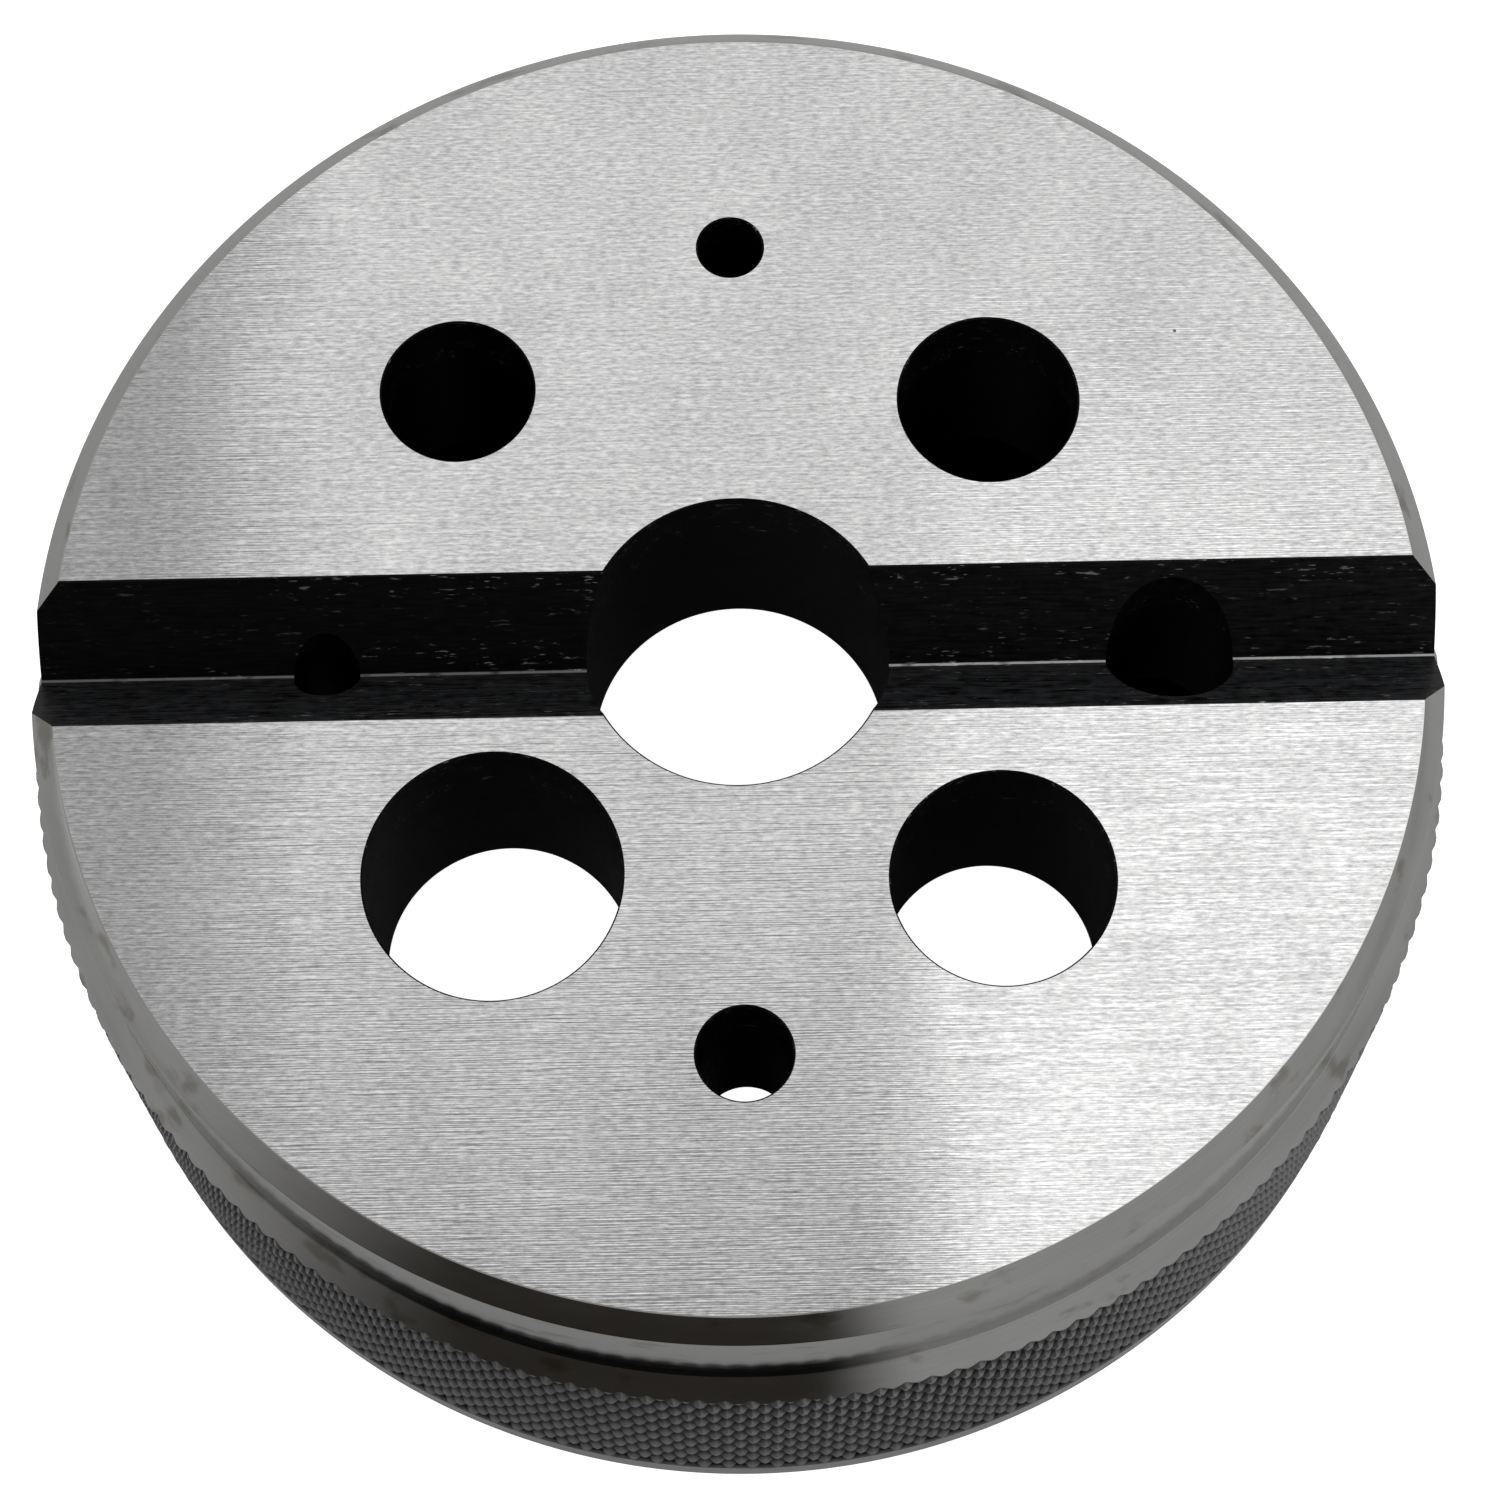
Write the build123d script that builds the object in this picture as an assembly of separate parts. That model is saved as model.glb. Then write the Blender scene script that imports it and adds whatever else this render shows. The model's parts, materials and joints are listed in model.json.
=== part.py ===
from build123d import *
import math
import os

# Round bench block: one solid piece of hardened tool steel, millimetres.
# +Z is up, the base stands on z = 0, and the V-groove runs along X through the axis.

# Body, turned from bar
height = 30.0
knurl_crest_d = 75.8  # over the crests of the diamond knurl
face_d = 71.0  # flat of the ground working face
face_chamfer = 1.15  # 45 degrees, from the working face to the neck
neck_d = face_d + 2 * face_chamfer  # plain band between the chamfer and the knurl
neck_low = 21.9  # the neck's lower edge, where a 45 degree shoulder begins
knurl_low = 2.9  # lower edge of the knurled band, which reaches up to the shoulder
land_d = 75.6  # plain land under the knurl, just inside the crests
base_chamfer = 0.9  # 45 degrees, from the land to the base

# Underside, hollowed so that a driven pin drops clear of the bench
plate_t = 15.0  # what is left of the height above the hollow
hollow_d = 54.0
hollow_corner_r = 0.8
hollow_mouth_chamfer = 0.5

# V-groove across the working face, for holding round work
groove_w = 8.0  # at the working face
groove_angle = 90.0  # included
groove_root_w = 0.2  # narrow flat left by the cutter's nose

# Bores straight through the plate, each a little over the pin that it clears:
# name, diameter, distance from the axis, angle from +X
bores = [
    ("centre", 15.9, 0.0, 0.0),
    ("rear_left", 8.1, 20.6, 135.0),
    ("rear_right", 9.5, 19.1, 45.0),
    ("front_left", 13.2, 17.8, 225.0),
    ("front_right", 11.4, 18.7, 315.0),
    ("rear", 3.5, 22.8, 90.0),
    ("front", 4.9, 22.2, 270.0),
    ("groove_left", 3.5, 21.6, 180.0),
    ("groove_right", 6.7, 22.7, 0.0),
]


def turned_body():
    """The half section, revolved about the axis."""
    face_r = face_d / 2
    neck_r = neck_d / 2
    knurl_r = knurl_crest_d / 2
    land_r = land_d / 2
    hollow_r = hollow_d / 2
    ceiling = height - plate_t
    with BuildPart() as body:
        with BuildSketch(Plane.XZ):
            with BuildLine():
                Polyline(
                    (hollow_r, hollow_mouth_chamfer),
                    (hollow_r + hollow_mouth_chamfer, 0),
                    (land_r - base_chamfer, 0),
                    (land_r, base_chamfer),
                    (land_r, knurl_low),
                    (knurl_r, knurl_low),
                    (knurl_r, neck_low - (knurl_r - neck_r)),
                    (neck_r, neck_low),
                    (neck_r, height - face_chamfer),
                    (face_r, height),
                    (0, height),
                    (0, ceiling),
                    (hollow_r - hollow_corner_r, ceiling),
                )
                RadiusArc(
                    (hollow_r - hollow_corner_r, ceiling),
                    (hollow_r, ceiling - hollow_corner_r),
                    hollow_corner_r,
                )
                Line(
                    (hollow_r, ceiling - hollow_corner_r),
                    (hollow_r, hollow_mouth_chamfer),
                )
            make_face()
        revolve(axis=Axis.Z)
    return body.part


def v_groove():
    """The cutter's path: a V with a narrow flat root, right across along X."""
    half_slope = math.tan(math.radians(groove_angle / 2))
    depth = (groove_w - groove_root_w) / 2 / half_slope
    over = 1.0  # run-out above the face
    half_top = groove_w / 2 + over * half_slope
    with BuildPart() as cutter:
        with BuildSketch(Plane.YZ):
            with BuildLine():
                Polyline(
                    (-half_top, height + over),
                    (-groove_root_w / 2, height - depth),
                    (groove_root_w / 2, height - depth),
                    (half_top, height + over),
                    close=True,
                )
            make_face()
        extrude(amount=knurl_crest_d, both=True)
    return cutter.part


def bore_cutter(diameter, distance, angle):
    """A straight drill through the plate, square to the face."""
    x = distance * math.cos(math.radians(angle))
    y = distance * math.sin(math.radians(angle))
    ceiling = height - plate_t
    with BuildPart() as cutter:
        with Locations((x, y, ceiling - 1)):
            Cylinder(diameter / 2, plate_t + 2, align=(Align.CENTER, Align.CENTER, Align.MIN))
    return cutter.part


bench_block = turned_body() - v_groove()
for name, diameter, distance, angle in bores:
    bench_block -= bore_cutter(diameter, distance, angle)

os.makedirs("parts", exist_ok=True)
export_step(bench_block, "parts/bench_block.step")
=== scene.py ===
import json
import math

import bmesh
import bpy
from mathutils import Matrix, Vector, noise


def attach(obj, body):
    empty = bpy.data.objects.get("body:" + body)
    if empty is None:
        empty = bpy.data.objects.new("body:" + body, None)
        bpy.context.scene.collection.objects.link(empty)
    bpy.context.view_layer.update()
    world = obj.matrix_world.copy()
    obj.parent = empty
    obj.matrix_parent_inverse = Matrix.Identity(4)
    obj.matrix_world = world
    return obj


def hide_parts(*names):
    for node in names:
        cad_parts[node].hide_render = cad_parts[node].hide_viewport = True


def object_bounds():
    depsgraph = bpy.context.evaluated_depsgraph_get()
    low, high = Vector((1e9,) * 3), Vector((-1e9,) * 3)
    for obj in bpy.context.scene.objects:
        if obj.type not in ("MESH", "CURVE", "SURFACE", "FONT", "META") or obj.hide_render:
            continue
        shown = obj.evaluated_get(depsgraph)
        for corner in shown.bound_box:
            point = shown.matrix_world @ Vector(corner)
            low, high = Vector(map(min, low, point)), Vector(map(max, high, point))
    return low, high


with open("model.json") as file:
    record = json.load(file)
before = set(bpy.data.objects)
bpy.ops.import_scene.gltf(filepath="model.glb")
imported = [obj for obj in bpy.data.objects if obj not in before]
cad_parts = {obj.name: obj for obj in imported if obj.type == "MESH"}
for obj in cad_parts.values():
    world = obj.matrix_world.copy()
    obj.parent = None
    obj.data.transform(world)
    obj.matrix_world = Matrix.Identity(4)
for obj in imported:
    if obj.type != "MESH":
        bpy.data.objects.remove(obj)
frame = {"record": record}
cad_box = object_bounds()
mm = 0.001

# --- Viewpoint ---------------------------------------------------------------------------------
# The block is seen from close above, a little in front of it, so the far side of the face
# falls away and the knurled rim shows only along the front.
aim = Vector((0.55, -6.31, 30.0)) * mm
eye_distance = 201.2 * mm
eye_elevation = math.radians(69.303)
eye_azimuth = math.radians(-0.046)
eye_roll = math.radians(-1.061)

lens = bpy.data.cameras.new("viewpoint")
lens.lens = 93.97
lens.sensor_width = 36.0
lens.clip_start = 10 * mm
lens.clip_end = 50.0
camera = bpy.data.objects.new("viewpoint", lens)
turn = Matrix.Rotation(eye_azimuth, 4, "Z")
turn = turn @ Matrix.Rotation(math.pi / 2 - eye_elevation, 4, "X")
turn = turn @ Matrix.Rotation(eye_roll, 4, "Z")
back = turn.to_3x3() @ Vector((0.0, 0.0, 1.0))
camera.matrix_world = Matrix.Translation(aim + back * eye_distance) @ turn
bpy.context.scene.collection.objects.link(camera)
bpy.context.scene.camera = camera
bpy.context.scene.view_settings.view_transform = "Standard"


# --- Table under the block ---------------------------------------------------------------------
# A plain white table top. Looked at directly it glows clean white, also through the bores, but
# it lights the block only with the light that falls on it, so the hollow stays dark. The
# block's own shade lies behind, round the edge of the hollow, and the onlooker's in front.
class Value:
    """One number that changes over a surface. Sums written with it add the Math nodes."""

    def __init__(self, finish, socket):
        self.finish = finish
        self.socket = socket

    def maths(self, operation, *others):
        inputs = dict(enumerate(others))
        return self.finish.node("ShaderNodeMath", {"operation": operation}, inputs)

    def __add__(self, other):
        return self.maths("ADD", self, other)

    def __radd__(self, other):
        return self.maths("ADD", other, self)

    def __sub__(self, other):
        return self.maths("SUBTRACT", self, other)

    def __rsub__(self, other):
        return self.maths("SUBTRACT", other, self)

    def __mul__(self, other):
        return self.maths("MULTIPLY", self, other)

    def __rmul__(self, other):
        return self.maths("MULTIPLY", other, self)

    def __abs__(self):
        return self.maths("ABSOLUTE", self)

    def root(self):
        return self.maths("SQRT", self)

    def bearing(self, front):
        """Degrees to the right of the front, where front is how far forward the place lies."""
        return self.maths("ARCTAN2", self, front) * math.degrees(1.0)

    def at_most(self, other):
        return self.maths("MINIMUM", self, other)

    def at_least(self, other):
        return self.maths("MAXIMUM", self, other)

    def ramp(self, low, high):
        """0 below low and 1 above high, with a smooth way between; it falls where low > high."""
        settings = {"interpolation_type": "SMOOTHSTEP"}
        rising = low < high
        inputs = {"Value": self, "From Min": min(low, high), "From Max": max(low, high)}
        inputs |= {"To Min": 0.0 if rising else 1.0, "To Max": 1.0 if rising else 0.0}
        return self.finish.node("ShaderNodeMapRange", settings, inputs)


class Finish:
    """A node tree with its own shader, in which places are millimetres from the base's centre."""

    def __init__(self, owner, shader):
        owner.use_nodes = True
        self.owner = owner
        self.tree = owner.node_tree
        self.shader = self.tree.nodes[shader]

    def node(self, kind, settings, inputs, output=0):
        """Adds one node: its settings first, then the values or links of its sockets."""
        made = self.tree.nodes.new(kind)
        for name, setting in settings.items():
            setattr(made, name, setting)
        for name, given in inputs.items():
            if isinstance(given, Value):
                self.tree.links.new(given.socket, made.inputs[name])
            else:
                made.inputs[name].default_value = given
        return Value(self, made.outputs[output])

    def place(self, kind="Object", scale=1 / mm):
        """The three parts of the place on the piece, in millimetres."""
        where = self.node("ShaderNodeTexCoord", {}, {}, kind)
        parts = [self.node("ShaderNodeSeparateXYZ", {}, {0: where}, n) for n in range(3)]
        return [part * scale for part in parts]

    def grain(self, x, y, z, detail=2.0, rough=0.5):
        """Noise from 0 to 1 about places that are already scaled to its grain."""
        where = self.node("ShaderNodeCombineXYZ", {}, {0: x, 1: y, 2: z})
        inputs = {"Vector": where, "Scale": 1.0, "Detail": detail, "Roughness": rough}
        return self.node("ShaderNodeTexNoise", {}, inputs)

    def blend(self, factor, first, second):
        """A colour between two others, each of which may be a plain colour or a blend."""
        inputs = {0: factor, 6: first, 7: second}
        return self.node("ShaderNodeMix", {"data_type": "RGBA"}, inputs, 2)

    def relief(self, height, depth):
        """The normal that a height from 0 to 1 gives over a depth in millimetres."""
        inputs = {"Height": height, "Strength": 1.0, "Distance": depth * mm}
        return self.node("ShaderNodeBump", {}, inputs)

    def wear(self, **inputs):
        """Sets or links the shader's own sockets, named in lower case."""
        for name, given in inputs.items():
            socket = self.shader.inputs[name.replace("_", " ").title().replace("Ior", "IOR")]
            if isinstance(given, Value):
                self.tree.links.new(given.socket, socket)
            else:
                socket.default_value = given
        return self.owner


table_half = 3.0
table_mesh = bpy.data.meshes.new("table")
corners = [(x * table_half, y * table_half, 0.0) for x, y in ((-1, -1), (1, -1), (1, 1), (-1, 1))]
table_mesh.from_pydata(corners, [], [(0, 1, 2, 3)])
shade_inner = 17.0
shade_outer = 36.0
top_white = (0.85, 0.85, 0.85, 1.0)
shade_grey = (0.010, 0.010, 0.010, 1.0)
laminate = Finish(bpy.data.materials.new("white_laminate"), "Principled BSDF")
x, y, z = laminate.place()
out = (x * x + y * y).root()
shade = out.ramp(shade_inner, shade_inner + 1.0) * out.ramp(shade_outer, shade_outer - 1.0)
shade = shade * y.ramp(5.0, 6.0)
bearing = x.bearing(0.0 - y)
onlooker_shade = bearing.ramp(-75.0, -30.0) * bearing.ramp(19.0, 7.0) * out.ramp(46.0, 60.0)
looked_at = laminate.node("ShaderNodeLightPath", {}, {}, "Is Camera Ray")
clean = looked_at * (1.0 - shade)
table_mesh.materials.append(
    laminate.wear(
        base_color=laminate.blend(shade.at_least(onlooker_shade), top_white, shade_grey),
        roughness=1.0,
        specular_ior_level=0.0,
        emission_color=laminate.blend(clean, (0.0, 0.0, 0.0, 1.0), (1.0, 1.0, 1.0, 1.0)),
        emission_strength=1.0,
    )
)
table = bpy.data.objects.new("table", table_mesh)
bpy.context.scene.collection.objects.link(table)


# --- Soft light --------------------------------------------------------------------------------
# A grey room with a paler wall at the left and a dark corner low down in front, where whoever
# looks at the block stands. Two wide panels overhead fill the ground face, and a nearer one
# its right front.
room = bpy.data.worlds.new("room")
bpy.context.scene.world = room
walls = Finish(room, "Background")
room_light = (0.43, 0.43, 0.43, 1.0)
pale_wall = (0.62, 0.62, 0.62, 1.0)
dark_corner = (0.036, 0.032, 0.027, 1.0)
east, north, height_seen = walls.place("Generated", 1.0)
bearing = east.bearing(0.0 - north)
low_down = height_seen.ramp(0.62, 0.42)
onlooker = bearing.ramp(-75.0, -30.0) * bearing.ramp(19.0, 7.0) * low_down
on_left = bearing.ramp(-78.0, -98.0) * height_seen.ramp(0.50, 0.30)
sides = walls.blend(on_left, room_light, pale_wall)
walls.wear(color=walls.blend(onlooker, sides, dark_corner), strength=1.0)


def panel(name, left, right, near, far, height, glow):
    """A soft panel that faces down, with its edges and its height in millimetres."""
    lamp = bpy.data.lights.new(name, "AREA")
    lamp.shape = "RECTANGLE"
    lamp.size = (right - left) * mm
    lamp.size_y = (far - near) * mm
    lamp.energy = glow * math.pi * lamp.size * lamp.size_y
    hung = bpy.data.objects.new(name, lamp)
    hung.location = Vector(((left + right) / 2, (near + far) / 2, height)) * mm
    hung.visible_camera = False
    bpy.context.scene.collection.objects.link(hung)


panel("overhead_panel", left=-97, right=420, near=85, far=640, height=530, glow=0.43)
panel("rear_panel", left=-420, right=420, near=165, far=320, height=531, glow=0.17)
panel("right_panel", left=21, right=200, near=-50, far=84, height=260, glow=0.66)


# --- Turned blank ------------------------------------------------------------------------------
# One round of hardened tool steel, turned all over in one chucking and then ground on both
# ends: base chamfer, plain land, full diameter for the knurl, shoulder, neck and face chamfer.
low, high = cad_box
height = high[2] / mm
crest_r = high[0] / mm
face_r = 35.5
face_chamfer = 1.15
neck_r = face_r + face_chamfer
neck_low = 21.9
shoulder_low = neck_low - (crest_r - neck_r)
knurl_low = 2.9
land_step = 0.1  # the land under the knurl lies this far inside the crests
land_r = crest_r - land_step
base_chamfer = 0.9
land_edge = 0.12
neck_fillet = 0.35
neck_edge = 0.10
face_edge = 0.12
blank_sides = 600


def eased(corners, steps=4):
    """An outline of (r, z, radius) corners with each corner rounded to its radius."""
    outline = []
    for n, (r, z, radius) in enumerate(corners):
        corner = Vector((r, z))
        if radius == 0:
            outline.append(corner)
            continue
        before = (Vector(corners[n - 1][:2]) - corner).normalized()
        after = (Vector(corners[n + 1][:2]) - corner).normalized()
        half = before.angle(after) / 2
        centre = corner + (before + after).normalized() * (radius / math.sin(half))
        start = corner + before * (radius / math.tan(half)) - centre
        end = corner + after * (radius / math.tan(half)) - centre
        for step in range(steps + 1):
            share = step / steps
            outline.append(centre + start.slerp(end, share).normalized() * radius)
    return outline


def turned(name, outline, sides, finishes, centre=(0.0, 0.0)):
    """A closed solid turned from its (r, z) outline, with a flat at each end. finishes is
    (material, bottom end, wall, top end), the last three as material numbers."""
    materials, bottom, wall, top = finishes
    shape = bmesh.new()
    rings = []
    for r, z in outline:
        ring = []
        for side in range(sides):
            angle = math.tau * side / sides
            x = centre[0] + r * math.cos(angle)
            y = centre[1] + r * math.sin(angle)
            ring.append(shape.verts.new((x, y, z)))
        rings.append(ring)
    for lower, upper in zip(rings, rings[1:]):
        for side in range(sides):
            after = (side + 1) % sides
            face = shape.faces.new((lower[side], lower[after], upper[after], upper[side]))
            face.material_index = wall
    shape.faces.new(rings[0][::-1]).material_index = bottom
    shape.faces.new(rings[-1]).material_index = top
    return solid(name, shape, materials)


def solid(name, shape, materials):
    """Turns a finished bmesh into an object, still in millimetres, with its normals outward."""
    bmesh.ops.recalc_face_normals(shape, faces=shape.faces)
    mesh = bpy.data.meshes.new(name)
    shape.to_mesh(mesh)
    shape.free()
    for material in materials:
        mesh.materials.append(material)
    made = bpy.data.objects.new(name, mesh)
    bpy.context.scene.collection.objects.link(made)
    return made


overrun = 1.0  # how far each tool reaches past the metal that it works


def worked(target, tool, operation):
    """Cuts target with tool, or keeps what they share, and uses the tool up."""
    change = target.modifiers.new("work", "BOOLEAN")
    change.solver = "MANIFOLD"
    change.operation = operation
    change.material_mode = "TRANSFER"
    change.object = tool
    seen = target.evaluated_get(bpy.context.evaluated_depsgraph_get())
    mesh = bpy.data.meshes.new_from_object(seen)
    target.modifiers.clear()
    target.data = mesh
    bpy.data.objects.remove(tool)


# Ground ends: fine wheel marks along X, which spread the light along Y only, and a few nicks.
ground = Finish(bpy.data.materials.new("ground_steel"), "Principled BSDF")
x, y, z = ground.place()
streaks = ground.grain(x * 1.8, y * 7.0, z, detail=3.0, rough=0.65)
threads = ground.grain(x * 0.25, y * 14.0, z, detail=0.0)
clouds = ground.grain(x * 0.16, y * 0.10, z, detail=2.0)
nick_spots = ground.grain(x * 1.0, y * 1.0, z + 40.0, detail=1.0).ramp(0.835, 0.850)
tone = (streaks - 0.5) * 2.8 + (threads - 0.5) * 0.5 + (clouds - 0.5) * 0.4 + 0.5
bright_steel = (0.80, 0.80, 0.795, 1.0)
dull_steel = (0.42, 0.42, 0.42, 1.0)
nicked_steel = (0.10, 0.10, 0.10, 1.0)
ground.wear(
    base_color=ground.blend(nick_spots, ground.blend(tone, dull_steel, bright_steel), nicked_steel),
    metallic=1.0,
    roughness=(streaks - 0.5) * 0.06 + 0.065,
    normal=ground.relief(threads, 0.013),
)

# Turned walls: fine rings from the tool, polished bright over them and a little stained.
lathed = Finish(bpy.data.materials.new("turned_steel"), "Principled BSDF")
x, y, z = lathed.place()
radius = (x * x + y * y).root()
rings = lathed.grain(radius * 14.0, z * 14.0, 0.5, detail=3.0, rough=0.6)
smears = lathed.grain(x * 0.22, y * 0.22, z * 1.5, detail=3.0)
stains = lathed.grain(x * 0.35, y * 0.35, z * 0.8 + 9.0, detail=4.0).ramp(0.57, 0.70)
clean_turned = (0.60, 0.60, 0.595, 1.0)
dull_turned = (0.40, 0.395, 0.385, 1.0)
stained_turned = (0.28, 0.26, 0.20, 1.0)
lathed.wear(
    base_color=lathed.blend(
        stains * 0.7, lathed.blend(rings * 0.5 + smears * 0.5, dull_turned, clean_turned), stained_turned
    ),
    metallic=1.0,
    roughness=(smears - 0.5) * 0.16 + 0.13,
    normal=lathed.relief(rings, 0.001),
)

blank_outline = eased(
    [
        (land_r - base_chamfer, 0.0, 0.0),
        (land_r, base_chamfer, land_edge),
        (land_r, knurl_low - land_step / 2, 0.0),
        (crest_r, knurl_low + land_step / 2, 0.0),
        (crest_r, shoulder_low, 0.0),
        (neck_r, neck_low, neck_fillet),
        (neck_r, height - face_chamfer, neck_edge),
        (face_r, height, face_edge),
        (face_r - face_edge / 2, height, 0.0),
    ]
)
block = turned("bench_block_steel", blank_outline, blank_sides, ([ground.owner, lathed.owner], 0, 1, 0))


# --- Knurled band ------------------------------------------------------------------------------
# Two wheels rolled crossing grooves at 30 degrees to the axis into the full diameter. The
# grooves leave diamonds with narrow flats on top, and run out shallow on the shoulder.
knurl_teeth = 180
knurl_angle = math.radians(30.0)
knurl_depth = 0.48
knurl_drift = 0.10  # how far the wheels wandered
noise.seed_set(3)  # without a seed, noise_vector takes one from the clock
crest_wear = 0.06
knurl_steps = (0.0, 0.36, 0.64)  # across one pitch: the groove's bottom, and each side of the flat
stock_r = crest_r + overrun
stock_top = height + overrun
knurl_end = shoulder_low + 0.5  # where the grooves have run out, up on the shoulder
run_out = 1.3  # along the axis, from no depth to the full depth
pitch = math.tau * crest_r / knurl_teeth
rise = pitch / math.tan(knurl_angle)

rolled = Finish(bpy.data.materials.new("rolled_steel"), "Principled BSDF")
x, y, z = rolled.place()
radius = (x * x + y * y).root()
# Down in the grooves the colour goes near black: painted shade in the knurl's pits.
flats = radius.ramp(crest_r - 0.32, crest_r - 0.06)
grit = rolled.grain(x * 3.0, y * 3.0, z * 3.0, detail=3.0)
groove_painted_shade = (0.006, 0.006, 0.006, 1.0)
rolled_steel = (0.36, 0.36, 0.36, 1.0)
rolled.wear(
    base_color=rolled.blend(flats * (grit * 0.6 + 0.6), groove_painted_shade, rolled_steel),
    metallic=flats * 0.7 + 0.2,
    roughness=(grit - 0.5) * 0.3 + 0.45,
    normal=rolled.relief(grit, 0.030),
)

steps = len(knurl_steps)
around = knurl_teeth * steps
lattice = {}
stock = bmesh.new()


def across(index):
    """How many pitches from the start the lattice's index-th line lies."""
    return index // steps + knurl_steps[index % steps]


def knurl_point(first, second):
    """The point where a line of one groove family crosses a line of the other."""
    key = (second % around, first - second)
    if key not in lattice:
        u, v = across(first), across(second)
        angle = (u + v) / 2 * math.tau / knurl_teeth
        z = (u - v) / 2 * rise
        pressed = first % steps == 0 or second % steps == 0
        place = Vector((math.cos(angle) * crest_r, math.sin(angle) * crest_r, z))
        drift = noise.noise_vector(place * 0.45) * knurl_drift
        angle += drift.x / crest_r
        z += drift.y
        worn = crest_wear * (0.5 + 0.5 * noise.noise(place * 0.9))
        share = min(1.0, max(0.0, (knurl_end - z) / run_out))
        r = crest_r - (max(worn, knurl_depth * share) if pressed else worn)
        lattice[key] = stock.verts.new((math.cos(angle) * r, math.sin(angle) * r, z))
    return lattice[key]


lowest_line = math.floor(2 * knurl_low / rise * steps) - steps
highest_line = math.ceil(2 * knurl_end / rise * steps) + steps
for second in range(around):
    for first in range(second + lowest_line, second + highest_line):
        a = knurl_point(first, second)
        b = knurl_point(first + 1, second)
        c = knurl_point(first + 1, second + 1)
        d = knurl_point(first, second + 1)
        # A diamond's corner folds from its flat down to where the grooves cross.
        like = (first % steps == 0) == (second % steps == 0)
        fold = ((a, b, c), (a, c, d)) if like else ((a, b, d), (b, c, d))
        for corners in fold:
            stock.faces.new(corners)

whole = list(stock.verts) + list(stock.edges) + list(stock.faces)
bmesh.ops.bisect_plane(stock, geom=whole, plane_co=(0, 0, knurl_low), plane_no=(0, 0, 1), clear_inner=True)
whole = list(stock.verts) + list(stock.edges) + list(stock.faces)
bmesh.ops.bisect_plane(stock, geom=whole, plane_co=(0, 0, knurl_end), plane_no=(0, 0, 1), clear_outer=True)


def drawn_on(rim, r, z):
    """Draws a rim of edges out to a new radius, or height where r is None; gives the new rim."""
    drawn = bmesh.ops.extrude_edge_only(stock, edges=rim)["geom"]
    for vertex in [part for part in drawn if isinstance(part, bmesh.types.BMVert)]:
        if r is not None:
            angle = math.atan2(vertex.co.y, vertex.co.x)
            vertex.co.x = r * math.cos(angle)
            vertex.co.y = r * math.sin(angle)
        vertex.co.z = z
    return [part for part in drawn if isinstance(part, bmesh.types.BMEdge) and part.is_boundary]


open_edges = [edge for edge in stock.edges if edge.is_boundary]
lower_rim = [edge for edge in open_edges if edge.verts[0].co.z < height / 3]
upper_rim = [edge for edge in open_edges if edge.verts[0].co.z > height / 3]
lower_rim = drawn_on(lower_rim, stock_r, knurl_low)
lower_rim = drawn_on(lower_rim, None, -overrun)
upper_rim = drawn_on(upper_rim, None, stock_top)
bmesh.ops.contextual_create(stock, geom=lower_rim)
bmesh.ops.contextual_create(stock, geom=upper_rim)
worked(block, solid("knurled_stock", stock, [rolled.owner]), "INTERSECT")


# --- Hollow underside --------------------------------------------------------------------------
# A recess bored from below, so that a driven pin drops clear of the bench. It and all later
# cuts were blacked, and the outside was ground and polished bright again.
hollow_r = 27.0
ceiling = 15.0
hollow_corner = 0.8
hollow_mouth = 0.5

blacked = Finish(bpy.data.materials.new("black_oxide"), "Principled BSDF")
x, y, z = blacked.place()
skin = blacked.grain(x * 1.5, y * 1.5, z * 1.5, detail=4.0)
drag = blacked.grain(x * 0.6, y * 7.0, z * 7.0, detail=2.0)
reamed = blacked.grain(x * 0.15, y * 0.15, z * 4.0, detail=3.0)
in_groove = z.ramp(height - 4.1, height - 3.95)
rub = blacked.grain(x * 1.1, y * 6.0, z * 6.0 + 7.0, detail=2.0, rough=0.6).ramp(0.60, 0.70)
rub = rub * blacked.grain(x * 0.5, y * 0.8, z * 0.8 + 21.0, detail=2.0).ramp(0.46, 0.58)
rub = rub * (z.ramp(height - 2.4, height - 3.2) + z.ramp(height - 1.0, height - 0.3) + 0.35)
rub = rub * (x.ramp(-32.0, -8.0) * 0.8 + 0.2) * in_groove
root_rub = z.ramp(height - 3.82, height - 3.88) * abs(y).ramp(0.085, 0.045) * in_groove
root_rub = root_rub * blacked.grain(x * 0.6, y, 3.0, detail=3.0).ramp(0.30, 0.50)
# Painted light: the groove's near flank is painted lighter, and every blacked place lighter towards +X,
# over the oxide's own random mottle.
near_flank_painted_light = y.ramp(0.05, -0.05) * y.ramp(-4.1, -4.0) * in_groove
mottle = (skin - 0.5) * 1.4 + (drag - 0.5) * 2.4 + (reamed - 0.5) * 0.8
mottle_and_painted_light = (mottle + 0.5) * (near_flank_painted_light * 0.9 + x.ramp(-10.0, 36.0) * 0.3 + 0.12)
black_skin = (0.0006, 0.0006, 0.0010, 1.0)
grey_skin_and_painted_light = (0.026, 0.027, 0.029, 1.0)
bare_steel = (0.45, 0.45, 0.44, 1.0)
bare = (rub * 0.6 + root_rub * (x.ramp(-10.0, 10.0) * 0.45 + 0.35)).at_most(1.0)
blacked.wear(
    base_color=blacked.blend(bare, blacked.blend(mottle_and_painted_light, black_skin, grey_skin_and_painted_light), bare_steel),
    metallic=bare,
    roughness=(drag - 0.5) * 0.2 + 0.40,
    specular_ior_level=0.13,
    normal=blacked.relief(drag + reamed, 0.006),
)
black = ([blacked.owner], 0, 0, 0)

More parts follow.
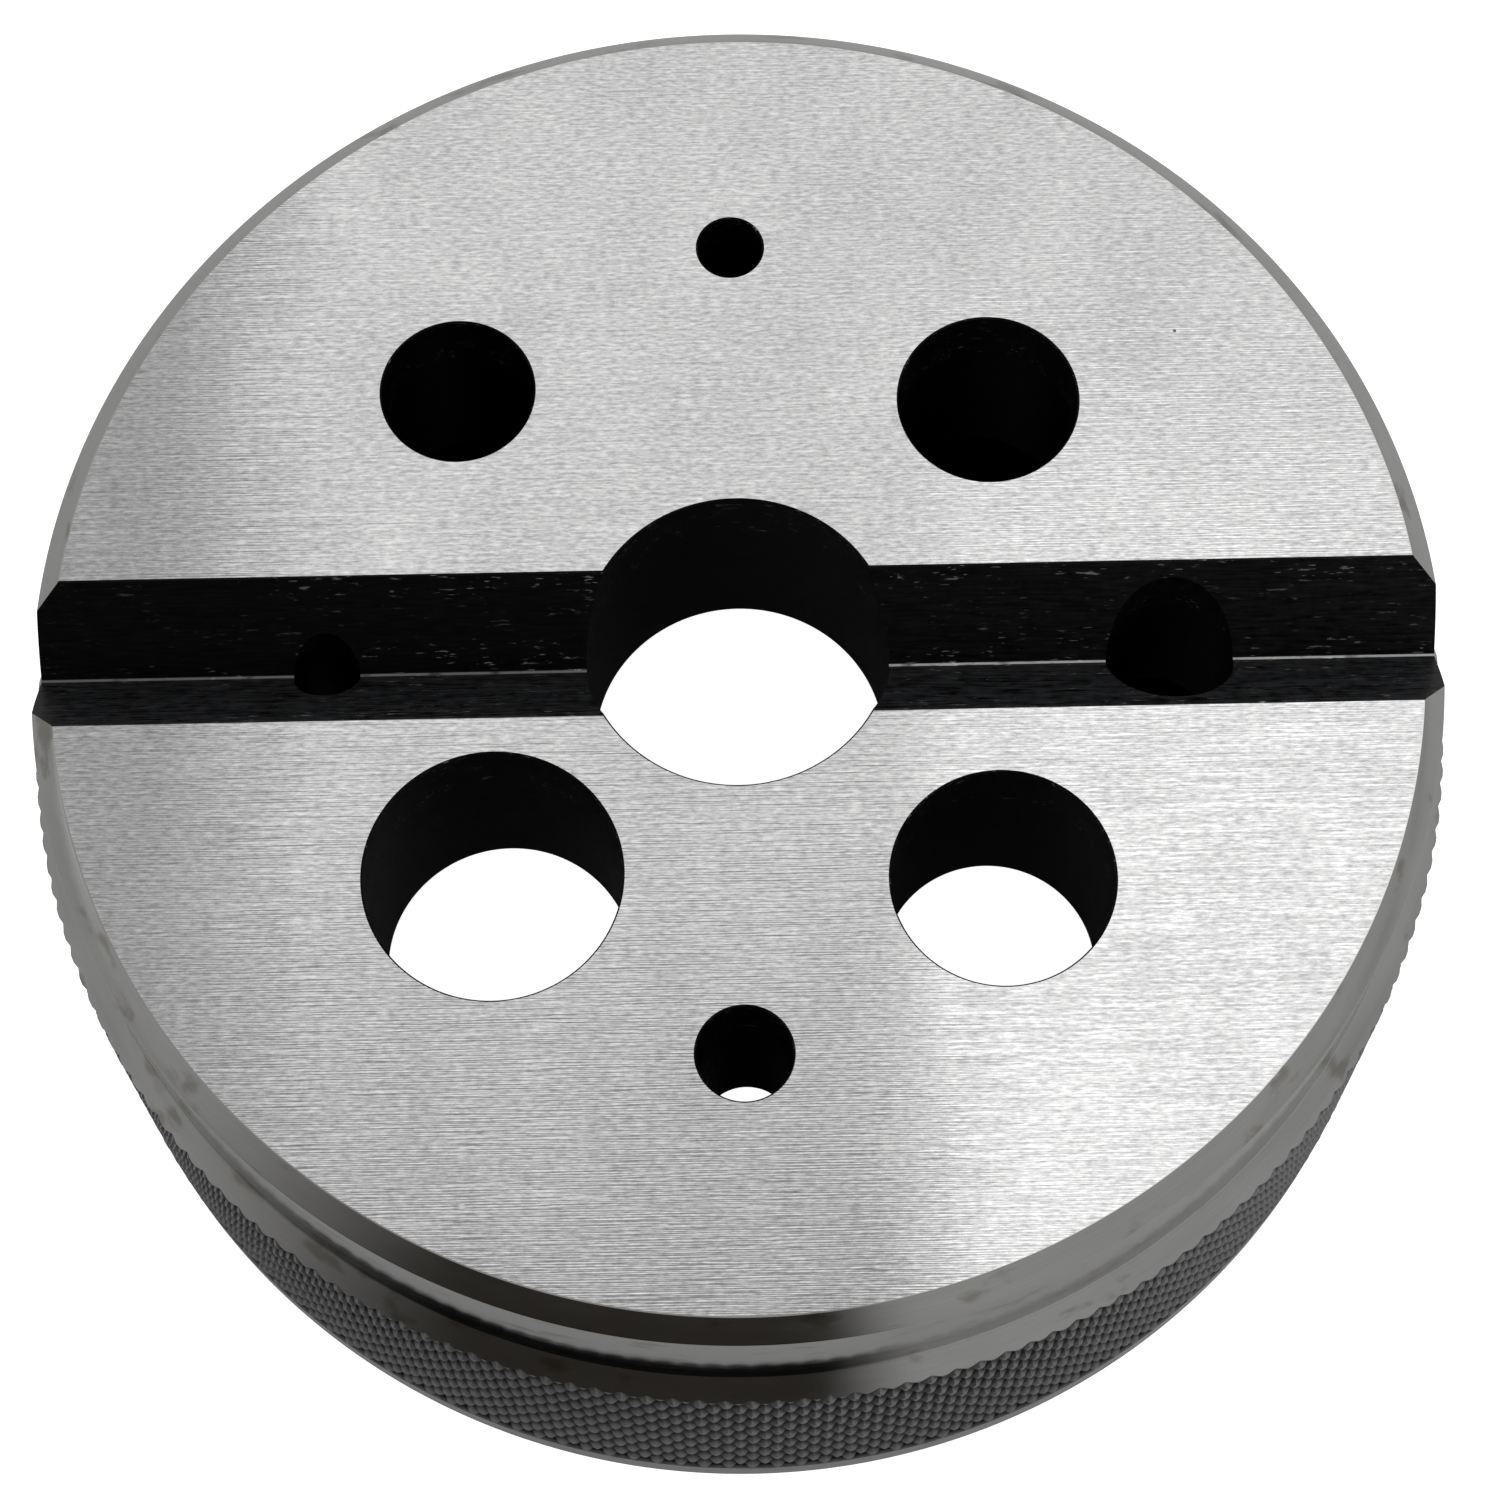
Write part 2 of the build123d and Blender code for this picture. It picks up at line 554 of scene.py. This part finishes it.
hollow_outline = eased(
    [
        (hollow_r + hollow_mouth + overrun, -overrun, 0.0),
        (hollow_r, hollow_mouth, 0.0),
        (hollow_r, ceiling, hollow_corner),
        (hollow_r - 2.0, ceiling, 0.0),
    ]
)
worked(block, turned("hollow_tool", hollow_outline, 360, black), "DIFFERENCE")


# --- V-groove ----------------------------------------------------------------------------------
# A 90 degree groove milled along X right across the face, to hold round work. Its root is a
# narrow flat as wide as the cutter's nose, and its edges are stoned just enough not to cut.
groove_half = 4.0
root_half = 0.1
stoned = 0.06

slope = math.sqrt(0.5)
root_z = height - (groove_half - root_half)
flank_top = Vector((groove_half - stoned * slope, height - stoned * slope))
edge_run = Vector((stoned * (1 + slope), stoned * slope))
open_top = flank_top + edge_run * 8
half_section = [Vector((root_half, root_z)), flank_top, open_top]
half_section.append(Vector((open_top.x, height + 2 * overrun)))
section = half_section + [Vector((-p.x, p.y)) for p in reversed(half_section)]
cutter = bmesh.new()
ends = []
for x_end in (-crest_r - 2 * overrun, crest_r + 2 * overrun):
    ends.append([cutter.verts.new((x_end, p.x, p.y)) for p in section])
for n in range(len(section)):
    after = (n + 1) % len(section)
    cutter.faces.new((ends[0][n], ends[0][after], ends[1][after], ends[1][n]))
for end in ends:
    cutter.faces.new(end)
worked(block, solid("groove_tool", cutter, [blacked.owner]), "DIFFERENCE")


# --- Bores -------------------------------------------------------------------------------------
# Nine drilled and reamed holes straight through the plate, each for its own size of pin, with
# a light break at both ends.
mouth_break = 0.09
lower_break = 0.25
bore_sides = 144
for mount in frame["record"]["mounts"]:
    if mount["kind"] != "bore":
        continue
    r = mount["dims"]["r_mm"]
    bore_outline = [
        (r + lower_break + overrun, ceiling - overrun),
        (r, ceiling + lower_break),
        (r, height - mouth_break),
        (r + mouth_break + overrun, height + overrun),
    ]
    centre = (mount["pos_m"][0] / mm, mount["pos_m"][1] / mm)
    tool = turned(mount["name"] + "_tool", bore_outline, bore_sides, black, centre)
    worked(block, tool, "DIFFERENCE")

# The finished block goes to metres, with every edge sharper than a rounded corner's step crisp.
crisp_angle = math.radians(14.0)
block.data.transform(Matrix.Scale(mm, 4))
block.data.shade_smooth()
block.data.set_sharp_from_angle(angle=crisp_angle)
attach(block, "root")
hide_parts("bench_block")
